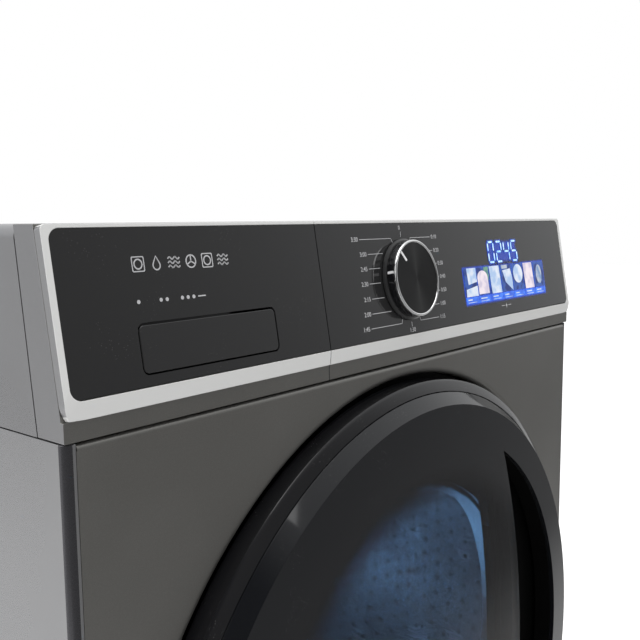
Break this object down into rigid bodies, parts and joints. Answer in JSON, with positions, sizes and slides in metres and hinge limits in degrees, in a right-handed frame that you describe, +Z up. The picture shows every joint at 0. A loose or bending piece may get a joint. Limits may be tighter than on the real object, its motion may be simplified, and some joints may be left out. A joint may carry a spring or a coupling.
{
  "type": "clothes dryer",
  "caption": "Free-standing front-loading heat-pump tumble dryer with a round smoked door, a leaning black control face, a rotary knob and a pull-out water container.",
  "frame": {"origin": "on the floor at the centre of the footprint", "axes": "+Z up, the door faces -Y, +X to the right seen from the front"},
  "size_m": [0.595, 0.613, 0.845],
  "materials": {
    "dark_silver": "satin metallic graphite paint",
    "satin_silver": "satin silver painted trim",
    "black_gloss": "high gloss black",
    "black_satin": "satin black moulding",
    "plastic_grey": "moulded grey plastic",
    "dark_grey": "moulded dark grey plastic",
    "steel": "stainless sheet",
    "zinc": "galvanised sheet",
    "cast": "black painted steel shell",
    "fins": "aluminium fins",
    "copper": "copper tube",
    "rubber": "black rubber",
    "smoked": "smoked glossy panel",
    "glass": "clear glass bowl",
    "clear": "translucent container plastic",
    "green": "circuit board in a tray",
    "blue": "back-lit display",
    "lever": "moulded coloured lever"
  },
  "bodies": {
    "cabinet": {"top_cover": "dark_silver", "side_panel_left": "dark_silver", "side_panel_right": "dark_silver", "front_panel": "dark_silver", "plinth": "dark_silver", "rear_panel": "zinc", "rear_duct_cover": "zinc", "base_tray": "dark_grey", "fascia_carrier": "dark_silver", "fascia_trim": "satin_silver", "control_face": "black_gloss", "display_module": "blue", "control_board": "green", "tank_bay": "plastic_grey", "front_bulkhead": "plastic_grey", "rear_bulkhead": "zinc", "door_gasket": "rubber", "drum_lamp": "clear", "motor": "cast", "fan_housing": "dark_grey", "compressor": "cast", "evaporator": "fins", "condenser": "fins", "refrigerant_pipes": "copper", "condensate_pump": "plastic_grey", "drain_hose": "rubber", "exchanger_cover": "plastic_grey", "door_lock": "dark_grey", "hinge_bracket": "steel", "mains_inlet": "black_satin", "panel_screws": "steel", "drive_belt": "rubber"},
    "door": {"door_frame": "black_gloss", "door_face": "smoked", "door_bowl": "glass", "door_liner": "plastic_grey", "door_pin": "steel", "door_hook": "steel"},
    "drawer": {"drawer_front": "dark_silver", "drawer_trim": "satin_silver", "drawer_face": "black_gloss", "water_tank": "clear", "tank_cap": "plastic_grey"},
    "grip_flap": {"drawer_flap": "black_satin"},
    "knob": {"program_knob": "black_gloss"},
    "drum": {"drum_shell": "steel", "drum_back": "steel", "drum_lifters": "plastic_grey"},
    "motor_rotor": {"motor_pulley": "steel", "fan_wheel": "plastic_grey"},
    "roller_left": {"support_roller_left": "black_satin"},
    "roller_right": {"support_roller_right": "black_satin"},
    "lint_screen": {"lint_filter": "plastic_grey"},
    "service_door": {"service_flap": "dark_silver"},
    "lever_left": {"cover_lever_left": "lever"},
    "lever_right": {"cover_lever_right": "lever"},
    "foot_front_left": {"foot_front_left": "rubber"},
    "foot_front_right": {"foot_front_right": "rubber"},
    "foot_rear_left": {"foot_rear_left": "rubber"},
    "foot_rear_right": {"foot_rear_right": "rubber"}
  },
  "joints": [
    {"name": "door_hinge", "type": "hinge", "parent": "cabinet", "child": "door", "pos_m": [-0.258, -0.2885, 0.45], "axis": [0, 0, -1], "range_deg": [0, 135]},
    {"name": "drawer_slide", "type": "slide", "parent": "cabinet", "child": "drawer", "axis": [0, -1, 0], "range_m": [0, 0.5]},
    {"name": "grip_hinge", "type": "hinge", "parent": "drawer", "child": "grip_flap", "pos_m": [-0.1957, -0.27323, 0.78819], "axis": [1, 0, 0], "range_deg": [0, 40], "stiffness_Nm_per_rad": 0.02, "springref_deg": -11.46},
    {"name": "knob_turn", "type": "hinge", "parent": "cabinet", "child": "knob", "pos_m": [0.006, -0.27367, 0.80012], "axis": [0, -0.9863, 0.165], "continuous": true},
    {"name": "drum_spin", "type": "hinge", "parent": "cabinet", "child": "drum", "pos_m": [0, 0, 0.46], "axis": [0, 1, 0], "continuous": true},
    {"name": "motor_spin", "type": "hinge", "parent": "cabinet", "child": "motor_rotor", "pos_m": [0.05, 0, 0.098], "axis": [0, 1, 0], "continuous": true},
    {"name": "roller_left_spin", "type": "hinge", "parent": "cabinet", "child": "roller_left", "pos_m": [-0.17397, -0.2215, 0.21155], "axis": [0, 1, 0], "continuous": true},
    {"name": "roller_right_spin", "type": "hinge", "parent": "cabinet", "child": "roller_right", "pos_m": [0.17397, -0.2215, 0.21155], "axis": [0, 1, 0], "continuous": true},
    {"name": "filter_lift", "type": "slide", "parent": "cabinet", "child": "lint_screen", "axis": [0, 0, 1], "range_m": [0, 0.01]},
    {"name": "service_hinge", "type": "hinge", "parent": "cabinet", "child": "service_door", "pos_m": [-0.165, -0.2745, 0.034], "axis": [1, 0, 0], "range_deg": [0, 90]},
    {"name": "lever_left_turn", "type": "hinge", "parent": "cabinet", "child": "lever_left", "pos_m": [-0.248, -0.2475, 0.1], "axis": [0, 1, 0], "range_deg": [0, 90]},
    {"name": "lever_right_turn", "type": "hinge", "parent": "cabinet", "child": "lever_right", "pos_m": [-0.094, -0.2475, 0.1], "axis": [0, -1, 0], "range_deg": [0, 90]},
    {"name": "foot_front_left_screw", "type": "slide", "parent": "cabinet", "child": "foot_front_left", "axis": [0, 0, 1], "range_m": [-0.015, 0]},
    {"name": "foot_front_right_screw", "type": "slide", "parent": "cabinet", "child": "foot_front_right", "axis": [0, 0, 1], "range_m": [-0.015, 0]},
    {"name": "foot_rear_left_screw", "type": "slide", "parent": "cabinet", "child": "foot_rear_left", "axis": [0, 0, 1], "range_m": [-0.015, 0]},
    {"name": "foot_rear_right_screw", "type": "slide", "parent": "cabinet", "child": "foot_rear_right", "axis": [0, 0, 1], "range_m": [-0.015, 0]}
  ],
  "couplings": [
    {"joint": "motor_spin", "follows": "drum_spin", "ratio": 23.583},
    {"joint": "roller_left_spin", "follows": "drum_spin", "ratio": -14.15},
    {"joint": "roller_right_spin", "follows": "drum_spin", "ratio": -14.15}
  ]
}
